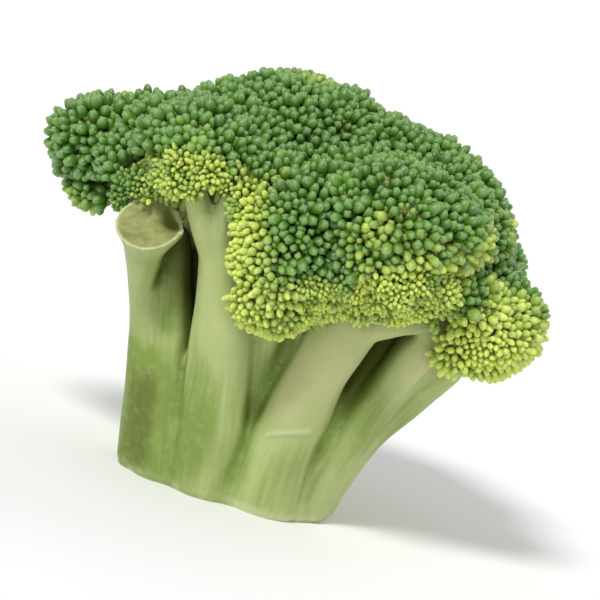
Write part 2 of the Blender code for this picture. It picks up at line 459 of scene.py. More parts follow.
def placeUmbels():
    # ripe heads above each cluster's rim and outside the openings, and young heads inside the openings and
    # along their fringes; an opening's owner number follows the clusters', and it has no rim
    dice = np.random.default_rng(11)
    low = np.array([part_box(name)[0].z for name in clusterNames]) / mm
    high = np.array([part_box(name)[1].z for name in clusterNames]) / mm
    rim = low + (high - low) * np.array([skirts[name] for name in clusterNames])
    place, normal, owner = placeHeads(crown["umbels"], crown["umbelJitter"], dice)
    smaller = 1 - crown["smallerBelow"] * smoothStep(*crown["below"], normal[:, 2])
    curve = dice.uniform(*crown["curve"], len(place)) * smaller
    lift = dice.normal(size=(len(place), 1)) * crown["lift"]
    finer = 1 - crown["finer"] * np.clip(yellowness(place, normal), 0, 1)
    level = furrowDepth(unit(place - crown["heart"])) < crown["inFurrow"]
    keep = (place[:, 2] > rim[owner]) & ~pared(place) & level
    sets = [(place[keep] + (normal * lift)[keep], normal[keep], owner[keep], curve[keep], finer[keep])]
    for index, opening in enumerate(openings.values()):
        place, normal, _ = placeHeads(young["heads"], young["jitter"], dice)
        lift = dice.normal(size=(len(place), 1)) * young["lift"] - opening["behind"]
        curve = dice.uniform(*young["curve"], len(place))
        keep = pared(place, [opening]) & aboveLine(place, opening["above"])
        hanging, facing = hangingHeads(opening, dice)
        place = np.concatenate([place[keep] + (normal * lift)[keep], hanging])
        curve = np.concatenate([curve[keep], dice.uniform(*young["curve"], len(hanging))])
        normal = np.concatenate([normal[keep], facing])
        owner = np.full(len(place), len(clusterNames) + index)
        sets.append((place, normal, owner, curve, np.full(len(place), young["scale"])))
    place, normal, owner, curve, scale = [np.concatenate(part) for part in zip(*sets)]
    return {"place": place, "normal": normal, "owner": owner, "curve": curve, "scale": scale,
            "centre": place - normal * curve[:, None],
            "rim": np.concatenate([rim, np.full(len(openings), -np.inf)])}


umbels = placeUmbels()
youngHead = umbels["owner"] >= len(clusterNames)
print(f"crown felt, {(~youngHead).sum()} ripe heads and {youngHead.sum()} young heads")


# The buds

bud = {
    "pitch": 1.90,           # between neighbours on a small head
    "packing": 0.866,        # the area that closely packed buds have each, in square pitches
    "width": 1.95,
    "length": 2.45,
    "crowding": 1.22,        # above 1 the buds at the middle of a small head are smaller and closer together
    "spread": 1.30,          # how far round its small head a bud may sit, in radians
    "astray": 0.16,          # unevenness in place, in depth, in facing and in size
    "sunk": 0.22,
    "turned": 0.06,
    "uneven": 0.11,
    "headTurn": 6.28,        # a small head is turned about its axis by up to this, in radians, and a bud
    "budTurn": 1.57,
    "apart": 1.46,           # buds of two small heads nearer than this don't both stay
    "overlap": 0.7,          # how far inside a neighbouring small head a bud may sit
    "hanging": 2.0,          # how far below its small head's rim a bud may sit
    "clearOfLimb": 0.3,      # from a limb's skin to a bud's middle
    "pastStub": 1.2,         # further out than this from the stub's cut face the stub doesn't count
    # buds that fill the gaps from below: the depth at which a gap is looked for, the depth at which it is
    # filled, and how far away the nearest bud must be for it to count as a gap
    "fillings": [(1.3, 1.3, 1.28), (0.9, 2.5, 1.10), (2.6, 3.7, 1.20), (4.1, 5.1, 1.20), (5.6, 6.4, 1.30)],
    "fillers": 60000,        # places over a whole ball that are tried
    "fillerSize": 0.92,
    "fillerTurned": 0.15,
    "around": 8,
    "rings": (0.34, 0.80, 1.36, 1.98, 2.62),   # angles from the tip at which the bud's rings lie
    # unevenness in ripeness and tone, of single buds and of whole heads, and how much paler ripe buds are
    "ripeEach": 0.11, "ripeHead": 0.07, "toneEach": 0.6, "toneHead": 0.4, "ripeTone": 0.25,
    "youngTone": (0.45, 0.3),    # the lowest tone of a young bud, and its range as a share of a ripe one's
    "toneMost": 1.2,
    "ripeSlimmer": 0.10,
}


def budShape():
    # closed egg on a grid of angle from the tip a and turn b: radius sin(a)^0.8 (1 - 0.16 cos a), height
    # cos a drawn out a little at the tip, with four creases between the sepals that fade away from the tip
    a = np.array(bud["rings"])[:, None]
    b = (np.arange(bud["around"]) * 2 * np.pi / bud["around"])[None, :]
    seam = np.cos(a / 2)**2 * (1 - np.cos(4 * b)) / 2
    radius = np.sin(a)**0.80 * (1 - 0.16 * np.cos(a)) * (1 - 0.20 * seam)
    height = (np.cos(a) + 0.06 * np.maximum(np.cos(a), 0)**4) * (1 - 0.08 * seam)
    skin = np.stack([radius * np.cos(b), radius * np.sin(b), height + 0 * b], axis=-1).reshape(-1, 3)
    points = np.concatenate([skin, [[0, 0, 0.99]], [[0, 0, -1.0]]])
    faces = turnedOver(*ringFaces(len(bud["rings"]), bud["around"]))
    tipness = np.concatenate([np.repeat(np.cos(bud["rings"]), bud["around"]), [1.0, -1.0]]) * 0.5 + 0.5
    return points * 0.5, faces, tipness, np.concatenate([seam.ravel(), [0.6, 0.0]])


def treeOf(points):
    tree = KDTree(len(points))
    for i, point in enumerate(points):
        tree.insert(point, i)
    tree.balance()
    return tree


def thinned(points, size, order, apart):
    # takes the points in the given order and drops each one that is nearer to one already taken than apart
    # times their mean size
    tree = treeOf(points)
    kept = np.ones(len(points), bool)
    for i in order:
        if kept[i]:
            for _, j, away in tree.find_range(points[i], apart * size.max()):
                if j != i and away < apart * (size[i] + size[j]) / 2:
                    kept[j] = False
    return kept


def outerBuds(dice):
    # on each small head bud k of n sits at cos(a) = 1 - (1 - cos(spread)) ((k + 0.5) / n)^crowding and turn k
    # golden angles, and n leaves packing pitch^2 to each; those inside another small head's dome, below the
    # rim or too near a neighbour's bud are dropped
    curve, normal, centre = umbels["curve"], umbels["normal"], umbels["centre"]
    pitch = bud["pitch"] * umbels["scale"]
    area = 2 * np.pi * (1 - np.cos(bud["spread"])) * curve**2
    wanted = (area / (bud["packing"] * pitch**2)).astype(int)
    head = np.repeat(np.arange(len(curve)), wanted)
    k = np.arange(len(head)) - np.repeat(np.cumsum(wanted) - wanted, wanted)
    share = (k + 0.5) / wanted[head]
    cosine = 1 - (1 - np.cos(bud["spread"])) * share**bud["crowding"]
    size = np.sqrt(bud["crowding"] * share**(bud["crowding"] - 1)) * umbels["scale"][head]
    turn = k * goldenAngle + dice.uniform(0, bud["headTurn"], len(curve))[head]
    first, second = acrossAxes(normal)
    sine = np.sqrt(1 - cosine**2)
    axis = (normal[head] * cosine[:, None] + first[head] * (sine * np.cos(turn))[:, None]
            + second[head] * (sine * np.sin(turn))[:, None])
    axis = unit(axis + dice.normal(size=axis.shape) * bud["turned"])
    place = centre[head] + axis * curve[head][:, None]
    place += dice.normal(size=place.shape) * bud["astray"] * size[:, None]
    inside = curve[None] - np.linalg.norm(place[:, None] - centre[None], axis=2)
    inside[np.arange(len(head)), head] = -np.inf
    low = place[:, 2] <= umbels["rim"][umbels["owner"][head]] - bud["hanging"]
    keep = (inside.max(axis=1) < bud["overlap"]) & ~low & (youngHead[head] | ~pared(place))
    place, axis, head, size, edge = place[keep], axis[keep], head[keep], size[keep], sine[keep]
    keep = thinned(place, size, np.argsort(edge), bud["apart"])
    place = place + axis * dice.normal(size=(len(place), 1)) * bud["sunk"] * size[:, None]
    return place[keep], axis[keep], head[keep], size[keep]


def gapPlaces():
    # a golden spiral of places on the crown's surface under which a bud may fill a gap, and the small head
    # that it would belong to; where the crown is yellow or open the buds are smaller and narrower gaps count
    directions = spiralDirections(bud["fillers"])
    touching, owner = touchingCrown(directions)
    surface, normal = crownSurface(directions[touching])
    bare = pared(surface)
    tight = 1 - crown["finer"] * np.clip(yellowness(surface, normal), 0, 1)
    tight[bare] = young["scale"]
    behind = np.zeros(len(surface))
    for opening in openings.values():
        behind[pared(surface, [opening])] = opening["behind"]
    head = np.empty(len(surface), int)
    for kind in (False, True):
        candidates = np.flatnonzero(youngHead == kind)
        mine = bare == kind
        away = np.linalg.norm(surface[mine][:, None] - umbels["centre"][candidates], axis=2)
        head[mine] = candidates[np.argmin(away, axis=1)]
    keep = surface[:, 2] > umbels["rim"][umbels["owner"][head]]
    keep &= bare | (surface[:, 2] > umbels["rim"][owner])
    for opening in openings.values():
        keep &= ~bare | ~pared(surface, [opening]) | aboveLine(surface, opening["above"])
    return [each[keep] for each in (surface, normal, tight, behind, head)]


def gapBuds(places, filled, dice, look, put, gap):
    # the places that are far from every bud, measured at the first depth, get a bud at the second
    surface, normal, tight, behind, head = places
    tree = treeOf(filled)
    away = np.array([tree.find(point)[2] for point in surface - normal * (look * tight + behind)[:, None]])
    keep = away > gap * tight
    order = np.argsort(-away[keep])
    surface, normal, tight, behind, head = [each[keep] for each in (surface, normal, tight, behind, head)]
    below = surface - normal * (put * tight + behind)[:, None]
    size = bud["fillerSize"] * tight
    keep = thinned(below, size, order, bud["apart"])
    axis = unit(normal + dice.normal(size=normal.shape) * bud["fillerTurned"])
    return below[keep], axis[keep], head[keep], size[keep]


def placeBuds():
    # the buds' places, then how ripe and how pale each is: its place's, its small head's and its own
    dice = np.random.default_rng(23)
    parts = [outerBuds(dice)]
    places = gapPlaces()
    for look, put, gap in bud["fillings"]:
        parts.append(gapBuds(places, np.concatenate([part[0] for part in parts]), dice, look, put, gap))
    print("buds placed:", [len(part[0]) for part in parts])
    place, axis, head, size = [np.concatenate(each) for each in zip(*parts)]
    ripe = yellowness(place, axis)
    heads, headDice = len(umbels["place"]), np.random.default_rng(29)
    headRipe, headTone = headDice.normal(0, bud["ripeHead"], heads), headDice.uniform(0, 1, heads)
    for index, opening in enumerate(openings.values()):
        mine = umbels["owner"][head] == len(clusterNames) + index
        ripe[mine] = headDice.uniform(*opening["ripe"], heads)[head[mine]]
        ripe[mine] -= stretchesAt(place[mine], greenStretches).sum(axis=0)
    ripe = ripe + dice.normal(0, bud["ripeEach"], len(place)) + headRipe[head]
    tone = bud["toneEach"] * dice.uniform(0, 1, len(place)) + bud["toneHead"] * headTone[head]
    lowest, spread = bud["youngTone"]
    tone = np.where(youngHead[head], lowest + spread * tone, tone + bud["ripeTone"] * np.clip(ripe, 0, 1))
    # painted shade: the tone is darkened along the shade stretches
    tone -= stretchesAt(place, budShadeStretches).sum(axis=0)
    size = size * dice.normal(1, bud["uneven"], len(place))
    turn = dice.uniform(0, bud["budTurn"], len(place))
    return {"place": place, "axis": axis, "head": head, "size": size, "turn": turn,
            "ripe": np.clip(ripe, 0, 1), "tone": np.clip(tone, 0, bud["toneMost"])}


def budMesh(name, some):
    # the egg turned to each bud's own axis, scaled to its size and moved to its place, all at once
    shape, faces, tipness, seam = budShape()
    axis, turn = some["axis"], some["turn"]
    first, second = acrossAxes(axis)
    side = first * np.cos(turn)[:, None] + second * np.sin(turn)[:, None]
    other = np.cross(axis, side)
    wide = bud["width"] * some["size"] * (1 - bud["ripeSlimmer"] * some["ripe"])
    long = bud["length"] * some["size"]
    points = (some["place"][:, None]
              + side[:, None] * (shape[:, 0] * wide[:, None])[..., None]
              + other[:, None] * (shape[:, 1] * wide[:, None])[..., None]
              + axis[:, None] * (shape[:, 2] * long[:, None])[..., None])
    count, each = len(axis), len(shape)
    ripe, tone = np.repeat(some["ripe"], each), np.repeat(some["tone"], each)
    values = {"look": np.stack([ripe, tone, np.tile(tipness, count)], axis=1), "seam": np.tile(seam, count)}
    return makePiece(name, points.reshape(-1, 3), *repeatFaces(faces, count, each), values)


# The stalk: a trunk and thirteen branches. Each has the route of its middle line and its radius along it

trunk = {
    "route": [(0, 0, -5), (0, 0, 6), (0, 0.2, 15), (0, 1, 27)],
    "girth": (16.4, 15.4, 13.2, 6),
    "flat": 0.90,     # depth as a share of width
}
branches = {
    "buds_top": {"route": [(0, 2, -5), (0, 2, 15), (-1, 3, 28), (-2, 4, 40)], "girth": (7.5, 7, 6.6, 5.6)},
    "buds_top_right": {"route": [(5, 1, -5), (6, 1, 14), (9, 1, 27), (12, 1.5, 38)],
                       "girth": (6.5, 6, 5.5, 4.6)},
    "buds_top_left": {"route": [(-6, 1, -5), (-6.5, 1.5, 14), (-11.5, 2, 27), (-16, 2, 38)],
                      "girth": (6.5, 5.6, 5, 4.6)},
    "buds_left": {"route": [(-10.8, -5.4, -5), (-12.6, -6, 10), (-18.6, -7, 22), (-24.2, -8.6, 40)],
                  "girth": (5.8, 5.1, 3.3, 2.6)},
    "buds_front_left": {"route": [(-3, -9.5, -5), (-2.8, -10.2, 10), (-5.6, -12, 26), (-12.6, -17.2, 46)],
                        "girth": (6, 5.9, 5, 3.3)},
    "buds_front": {"route": [(1.4, -7.2, -5), (1.6, -7.8, 12), (1.4, -10, 24), (-0.5, -15, 34)],
                   "girth": (4.2, 3, 2.5, 2.4)},
    "buds_front_right": {"route": [(7, -8.6, -5), (6.9, -9.2, 12), (7.8, -10.8, 26), (14.2, -15, 38.5)],
                         "girth": (6.7, 6.2, 5.3, 4.8)},
    "buds_right": {"route": [(12.8, -0.5, -5), (14.6, -1.5, 7), (20, -3.5, 20), (31.5, -6.5, 34.5)],
                   "girth": (4.8, 4.3, 3.9, 3.2)},
    "buds_right_back": {"route": [(11.2, 5.2, -5), (12.4, 6, 12), (16, 8, 26), (22.5, 10, 38)],
                        "girth": (5.3, 5, 4.6, 3.8)},
    "buds_back_right": {"route": [(6.6, 9.4, -5), (7.2, 10.4, 12), (9.2, 14, 25), (13, 19.5, 36)],
                        "girth": (5.6, 5.2, 4.8, 4)},
    "buds_back": {"route": [(0, 10.2, -5), (0, 11.4, 12), (0, 16, 24), (0, 23, 35)],
                  "girth": (5.4, 5, 4.6, 3.8)},
    "buds_back_left": {"route": [(-6.8, 9, -5), (-7.4, 10, 12), (-9.4, 13.6, 25), (-13, 19, 36)],
                       "girth": (5.6, 5.2, 4.8, 4)},
    "buds_left_back": {"route": [(-11.4, 3.8, -5), (-13, 4, 12), (-17.6, 4.6, 25), (-25.5, 5.6, 38)],
                       "girth": (5.3, 5, 4.5, 3.7)},
}
# Limbs that carry no cluster of their own: one that forks off to the right, the stub of one sliced off, the
# three that the second limb from the left splits into, the four webs between the limbs at the front, and the
# bridge between the tops of the two front limbs at the right
sideLimbs = [
    {"route": [(12.3, -4.4, -5), (14.7, -5.4, 9), (19.2, -8.6, 21), (27.2, -9.6, 41.5)],
     "girth": (4.6, 4, 3.6, 3.6)},
    {"route": [(-20.9, -7.6, 28), (-22.2, -10.6, 31.5), (-22.4, -14.9, 37.4), (-23, -17.6, 40.9)],
     "girth": (2.3, 2.4, 3.3, 5.7)},
    {"route": [(-10.8, -15.6, 38), (-14, -18, 43), (-16.6, -19, 47), (-20, -20, 53)],
     "girth": (2.8, 2.4, 1.9, 1.2)},
    {"route": [(-10.8, -12.6, 38), (-13.2, -13.4, 43), (-14.6, -13.5, 48), (-15, -13, 53)],
     "girth": (2.8, 2.5, 2, 1.2)},
    {"route": [(-10.2, -15.6, 38), (-11.4, -18.4, 43), (-12.2, -19.6, 47), (-12, -20.6, 50)],
     "girth": (2.8, 2.3, 1.8, 1.2)},
    {"route": [(-9.5, -8.5, -5), (-10.8, -8.4, 8), (-14, -8.2, 19), (-19.5, -5.4, 41)],
     "girth": (5.2, 4.8, 3.9, 2.6)},
    {"route": [(-1, -6, -5), (-1, -7.4, 10), (-1.4, -9.2, 24), (-4, -10, 38)],
     "girth": (4.2, 3.8, 3.2, 2.6)},
    {"route": [(4.4, -6, -5), (4.6, -7.4, 8), (5, -9.6, 20), (5.4, -10.4, 36)],
     "girth": (4.2, 3.8, 3.2, 2.9)},
    {"route": [(10.5, -6.5, -5), (11.8, -7.5, 8), (15.6, -8.4, 18), (22.5, -1, 40)],
     "girth": (4.6, 4.2, 3.3, 3.4)},
    {"route": [(12.5, -14, 33.5), (16, -16.2, 35.9), (20.2, -15.8, 37.2), (25, -12, 38.8)],
     "girth": (3, 2.5, 2.2, 2.4)},
]
# The thin limbs in the middle of the head, in a ring: how many, the first one's bearing, the radius of the
# ring and the height at four points along each, and the girth there
inner = {
    "count": 9, "bearing": 0.3,
    "radius": (3, 4.5, 8, 13), "height": (5, 17, 29, 43), "girth": (4, 3.6, 3, 2.2),
}
# The stub's cut end: which side limb it is, its middle, the way it faces, its radius, how hollow and how
# rough it is, and the dent in it. The skin is pressed onto the cutting plane from the first of two depths
# on, fully from the second one and up to a height above it, and less and less over the edge round it
sliced = {
    "limb": 1, "middle": (-23, -17.6, 40.9), "faces": (-0.22, -0.66, 0.72), "radius": 5.6, "hollow": 0.35,
    "rough": 0.06, "dent": (-18.7, -16.1, 42.8), "dentReach": 2.4, "dentDepth": 1.8,
    "depths": (-0.75, -0.35), "above": 2, "edge": 0.8,
}
stalk = {
    "voxel": 0.5,
    "rounding": 10,       # smoothing passes over the joined skin
    "shelterEvening": 8,  # passes that even out how sheltered neighbouring points are
    "hollowReach": 30,    # passes whose further smoothing tells which points lie in a hollow
    "waviness": 0.25,     # how unevenly the skin stands out, and over what length
    "wave": 11,
    "ribs": 0.03,         # height of the ribs along the fibres, and radians of a rib to a millimetre across
    "ribPitch": 1.3,
    "ribWander": 2,       # radians by which the ribs wander, and by which each limb's differ from the last
    "ribLimb": 1.7,
    "toned": 0.35,        # how uneven the skin's colour is
    "domed": 0.08,        # share of a limb's length over which its end rounds off
    "rim": 1.3,           # height over which the skin draws in towards the cut face, and by how much
    "drawnIn": 0.7,
    "scar": ((4.5, 13.1), (11.6, 15.9)),    # X and Z of the two ends of the old leaf's scar at the front
    "scarFront": -9,      # only points further forward than this Y have it
    "scarEnds": (-0.05, 0.08),    # shares of its length over which it comes in at both ends
    "scarBow": 0.35,      # how far its middle bows up
    "scarWidth": 0.55,
    "scarRidge": 0.24,    # how far it stands out, and how far the skin below it sinks
    "scarStep": 0.20,
    "scarBelow": (-0.8, -6),      # heights below it where the skin sinks fully, and not at all any more
    "rays": 8,            # from each point of the skin, to tell how sheltered it is, and how far they reach
    "rayReach": 16,
    "rayStart": 0.4,      # height above the skin that they start from
    "rayTurn": 1.7,       # radians by which the rays of each next point are turned
    "steps": 36,          # points along each limb, and around the trunk, the limbs and the forks
    "sides": (32, 20, 12),
}
# Where the stalk's skin is greener (above 0) or more tan (below 0), in the terms of the crown's stretches.
# Several greener ones are painted shade, on the foot and sides of the left limb and along the grooves between
# the front limbs; the others, and the tan ones, are the skin's own colour
skinToneAndShadeStretches = [
    ((-17, -11, 15), (-15.4, -10, 1), 5.6, 1.10),
    ((-15.3, -11.5, 13), (-13.4, -12, 4), 3.4, 1),
    ((-22.5, -9, 38), (-20.5, -10, 22), 4, -0.25),
    ((-4.5, -15, 8), (-9, -17, 30), 5, 0.50),
    ((-19.5, -7, 18), (-17, -5, 3), 4.2, 1),
    ((-4.6, -16, 18), (-5.2, -15.5, 12), 4.6, 0.50),
    ((-11.8, -12, 22), (-9.4, -12.5, 12), 1.1, 0.9),
    ((1.1, -13.5, 5), (1.2, -13.5, 17), 1.3, 0.9),
    ((1.5, -13.5, 16), (3.6, -12.5, 28), 1.9, 1.1),
    ((-17.2, -10, 33), (-15.8, -11, 25), 1.8, 0.9),
    ((13.9, -11, 5), (13.5, -11, 13), 1.5, 0.6),
    ((13.5, -11, 13), (14.4, -10, 21), 1.6, 1),
    ((5, -15.5, 9.5), (10, -14, 10.5), 3, 0.10),
    ((17, -9, 12), (21, -10, 24), 3.6, 0.25),
    ((8.5, -16, 20), (14, -20, 34), 6, -0.9),
    ((-10, -17, 28), (-14, -20, 40), 4.5, -0.7),
    ((-16, -20, 44), (-16, -21, 50), 4, -0.1),
    ((25, -13, 30), (29, -13, 36), 4, -0.7),
    ((17, -17, 36), (23, -16, 38), 3, -0.6),
    ((-14, -10, 4), (-12, -12, 1), 2.6, 0.4),
]
forks = {
    "umbelsEach": 4,        # small heads that one fork carries
    "from": 0.80,           # how far along its limb a fork leaves it
    "share": 0.62,          # how far towards its small heads a fork runs before it splits
    "girth": (0.62, 0.44),  # of the limb's own at its tip
    "hub": 7.6,             # depth of a small head's hub below its top
    # a sprig runs from a fork to a hub and a bud stem from a hub to a bud: radii at the two ends, points
    # along and around, the power of a small head's scale that thins them, how far each arrives straight
    "sprigGirth": (1.3, 0.9), "sprigSteps": 8, "sprigSides": 8, "sprigThinner": 0.7, "sprigStraight": 2.5,
    "stemGirth": (0.40, 0.55), "stemSteps": 5, "stemSides": 5, "stemThinner": 0.8, "stemStraight": 0.5,
    "sprigInside": 1.5,     # how far inside its fork a sprig starts, and how far it goes on past its hub
    "sprigPast": 1.2,
    "sprigBend": 0.45,      # where the bend of a ripe head's sprig is, as a share of its fork's last stretch
    "footAstray": (0.5, 0.8, 0.5),    # unevenness of a young head's sprig foot, and where its bend is
    "footBend": (0.2, 0.5, 0.6),
    "stemBend": 0.25,
    "budFoot": 0.42,        # share of a bud's length from its middle to its foot
}


def hubPoints():
    # the point under the middle of each small head that its bud stems start from
    return umbels["place"] - umbels["normal"] * (forks["hub"] * umbels["scale"])[:, None]


def curveThrough(route, steps):
    return bezier(np.array(route, float)[None], steps)[0]


def radiusAlong(girth, steps):
    # the stated radii joined by straight lines over even values of t
    return np.interp(np.linspace(0, 1, steps), np.linspace(0, 1, len(girth)), girth)


def forkLayout():
    # the hubs of a cluster are sorted by their bearing round the branch and dealt to its forks in order;
    # a fork ends part of the way from the branch's tip to the middle of its hubs
    hubs = hubPoints()
    lines, girths, forkOfUmbel = [], [], np.zeros(len(hubs), int)
    for index, name in enumerate(clusterNames):
        mine = np.flatnonzero(umbels["owner"] == index)
        route = np.array(branches[name]["route"], float)
        leaves = curveThrough(route, 101)[round(forks["from"] * 100)]
        axis = unit(route[-1] - route[-2])[None]
        first, second = acrossAxes(axis)
        offset = hubs[mine] - route[-1]
        bearing = np.arctan2(offset @ second[0], offset @ first[0])
        groups = max(2, round(len(mine) / forks["umbelsEach"]))
        dealt = np.argsort(np.argsort(bearing)) * groups // max(len(mine), 1)
        for group in range(groups):
            members = mine[dealt == group]
            if len(members) > 0:
                target = hubs[members].mean(axis=0)
                forkOfUmbel[members] = len(lines)
                lines.append([leaves, route[-1], route[-1] + (target - route[-1]) * forks["share"]])
                girths.append(np.array(forks["girth"]) * branches[name]["girth"][-1])
    return np.array(lines), np.array(girths), forkOfUmbel


forkRoutes, forkGirths, forkOfUmbel = forkLayout()


def innerLimbs():
    # a ring of alike limbs, each turned one step further round the head's middle line
    bearing = inner["bearing"] + np.arange(inner["count"]) * 2 * np.pi / inner["count"]
    radius, height = np.array(inner["radius"]), np.array(inner["height"], float)
    return [{"route": np.stack([radius * np.cos(b), radius * np.sin(b), height], axis=1),
             "girth": inner["girth"]} for b in bearing]


def stalkSkeleton():
    # middle lines and radii of the branches and the forks; every end but the sliced one closes in a dome:
    # radius times the root of 1 - u^2, with u going from 0 to 1 over the end
    steps = stalk["steps"]
    limbs = [branches[name] for name in clusterNames] + sideLimbs + innerLimbs()
    lines = np.stack([curveThrough(limb["route"], steps) for limb in limbs])
    radii = np.stack([radiusAlong(limb["girth"], steps) for limb in limbs])
    u = np.clip((np.linspace(0, 1, steps) - 1 + stalk["domed"]) / stalk["domed"], 0, 0.995)
    domed = np.arange(len(limbs)) != len(clusterNames) + sliced["limb"]
    radii[domed] *= np.sqrt(1 - u**2)
    forkLines = bezier(forkRoutes, steps)
    share = np.linspace(0, 1, steps)
    forkRadii = forkGirths[:, :1] * (1 - share) + forkGirths[:, 1:] * share
    return lines, radii, forkLines, forkRadii


def clearOfLimbs(some):
    # drops the buds whose middle lies inside a limb; the stub counts only up to its cut face
    lines, radii, _, _ = stalkSkeleton()
    whole = np.arange(len(lines)) != len(clusterNames) + sliced["limb"]
    past = (some["place"] - sliced["middle"]) @ unit(np.array(sliced["faces"])) > bud["pastStub"]

    def clearOf(chosen):
        line, radius = lines[chosen].reshape(-1, 3), radii[chosen].ravel()
        gap = inBlocks(lambda block: (np.linalg.norm(block[:, None] - line, axis=2) - radius).min(axis=1),
                       some["place"])
        return gap > bud["clearOfLimb"]

    clear = clearOf(whole) & (past | clearOf(~whole))
    return {key: value[clear] for key, value in some.items()}


buds = clearOfLimbs(placeBuds())


def fusedSkin():
    # trunk, branches and forks as tubes, turned into one skin by a voxel remesh
    steps, (trunkSides, limbSides, forkSides) = stalk["steps"], stalk["sides"]
    lines, radii, forkLines, forkRadii = stalkSkeleton()
    middle, radius = curveThrough(trunk["route"], steps), radiusAlong(trunk["girth"], steps)
    core = tubes(middle[None], radius[None], trunkSides)
    core[0][:, 1] *= trunk["flat"]
    limbs, twigs = tubes(lines, radii, limbSides), tubes(forkLines, forkRadii, forkSides)
    rough = makePiece("roughStalk", *joined([core, limbs, twigs]))
    remesh = rough.modifiers.new("fuse", "REMESH")
    remesh.mode = "VOXEL"
    remesh.voxel_size = stalk["voxel"] * mm
    seen = rough.evaluated_get(bpy.context.evaluated_depsgraph_get())
    fused = bpy.data.meshes.new_from_object(seen)
    bpy.data.objects.remove(rough)
    return fused


def neighbourMean(values, edges):
    # for each point the mean of its neighbours' values
    one, two = edges[:, 0], edges[:, 1]
    count = np.bincount(edges.ravel(), minlength=len(values))
    columns = values.reshape(len(values), -1).T
    means = [(np.bincount(one, column[two], len(values)) + np.bincount(two, column[one], len(values))) / count
             for column in columns]
    return np.stack(means, axis=1).reshape(values.shape)


def relax(points, edges, passes):
    # each pass moves every point 0.62 of the way to the mean of its neighbours and then 0.58 of the way
    # back, so that the skin evens out without shrinking
    for _ in range(passes):
        for share in (0.62, -0.58):
            points = points + share * (neighbourMean(points, edges) - points)
    return points


def evened(values, edges, passes):
    # each pass replaces half of every value by the mean of its neighbours' values
    for _ in range(passes):
        values = 0.5 * values + 0.5 * neighbourMean(values, edges)
    return values


def meshArrays(mesh):
    # points in millimetres, edges and the points' normals
    def read(source, key, each, kind):
        values = np.empty(len(source) * each, kind)
        source.foreach_get(key, values)
        return values.reshape(-1, each)

    points, normals = [read(mesh.vertices, key, 3, np.float32).astype(float) for key in ("co", "normal")]
    return points / mm, read(mesh.edges, "vertices", 2, np.int32), normals


def fibreCoordinates(points):
    # the turn round the nearest limb's line times 5 mm gives each point's place across, then come its length
    # along the limb and the limb's number
    limbs, limbRadii, forkLines, forkRadii = stalkSkeleton()
    lines = np.concatenate([limbs, forkLines])
    radii = np.concatenate([limbRadii, forkRadii]).ravel()
    along = unit(np.gradient(lines, axis=1))
    pieces = np.linalg.norm(np.diff(lines, axis=1), axis=2)
    length = np.concatenate([np.zeros((len(lines), 1)), np.cumsum(pieces, axis=1)], axis=1)
    length[len(limbs):] += length[:len(limbs)].max(axis=1).mean()
    steps = lines.shape[1]
    first, second, along, lines = [each.reshape(-1, 3) for each in (*acrossAxes(along), along, lines)]

    def nearestLimb(block):
        near = np.argmin(np.linalg.norm(block[:, None] - lines, axis=2) - radii, axis=1)
        offset = block - lines[near]
        turn = np.arctan2((offset * second[near]).sum(1), (offset * first[near]).sum(1))
        down = length.ravel()[near] + (offset * along[near]).sum(1)
        return np.stack([turn * 5, down, near // steps], axis=1)

    return inBlocks(nearestLimb, points)


def scarShape(points):
    # across the front limb: exp(-(d / width)^2) with d the height above the scar's line, and 1 just below it
    # fading to 0 further down
    (x0, z0), (x1, z1) = stalk["scar"]
    share = (points[:, 0] - x0) / (x1 - x0)
    line = z0 + (z1 - z0) * share + stalk["scarBow"] * np.sin(share * np.pi)
    above = points[:, 2] - line
    front = points[:, 1] < stalk["scarFront"]
    inside = smoothStep(*stalk["scarEnds"], np.minimum(share, 1 - share)) * front
    ridge = np.exp(-(above / stalk["scarWidth"])**2)
    sunk, level = stalk["scarBelow"]
    return inside * ridge, inside * smoothStep(0, sunk, above) * smoothStep(level, sunk, above)


def sliceStub(points):
    # the stub's end is pressed onto its cutting plane, a little hollow, with a dent at one side: new height
    # -hollow (1 - (r / radius)^2) - depth exp(-(d / reach)^2), with r from the middle and d from the dent.
    # Also gives how much each point belongs to the cut face, r / radius and its share of the dent
    middle, up = np.array(sliced["middle"]), unit(np.array(sliced["faces"]))
    out = points - middle
    height = out @ up
    flat = out - height[:, None] * up
    r = np.linalg.norm(flat, axis=1) / sliced["radius"]
    rim = 1 + sliced["edge"] / sliced["radius"]
    face = smoothStep(*sliced["depths"], height) * (height < sliced["above"]) * smoothStep(rim, 1, r)
    dent = np.exp(-(np.linalg.norm(points - sliced["dent"], axis=1) / sliced["dentReach"])**2)
    wanted = -sliced["hollow"] * (1 - r**2) - sliced["dentDepth"] * dent
    wanted += sliced["rough"] * softNoise(points, 1.6, 31)
    points = points + (face * (wanted - height))[:, None] * up
    return points, np.stack([face, r, dent], axis=1)


def shelter(points, normals, mesh):
    # the share of rays from each point, spread over the half ball round its normal, that meet the stalk again
    # within the reach; the skin's painted shade follows it
    polygons = [tuple(polygon.vertices) for polygon in mesh.polygons]
    tree = BVHTree.FromPolygons(points.tolist(), polygons)
    k = np.arange(stalk["rays"])
    cosine = np.sqrt(1 - (k + 0.5) / stalk["rays"])
    sine = np.sqrt(1 - cosine**2)
    first, second = acrossAxes(normals)
    turn = k[None] * goldenAngle + (np.arange(len(points)) * stalk["rayTurn"])[:, None]
    rays = (normals[:, None] * cosine[:, None] + first[:, None] * (sine * np.cos(turn))[..., None]
            + second[:, None] * (sine * np.sin(turn))[..., None])
    starts = points + normals * stalk["rayStart"]
    met = np.zeros(len(points))
    for i, start in enumerate(starts.tolist()):
        met[i] = sum(tree.ray_cast(start, ray, stalk["rayReach"])[0] is not None for ray in rays[i].tolist())
    return met / stalk["rays"]


def skinToneAndShade(points):
    # the sum of the stretches, partly the skin's own colour and partly painted shade, and an unevenness drawn
    # out along the stalk
    uneven = stalk["toned"] * softNoise(points * [1, 1, 0.35], 9, 14)
    return stretchesAt(points, skinToneAndShadeStretches).sum(axis=0) + uneven


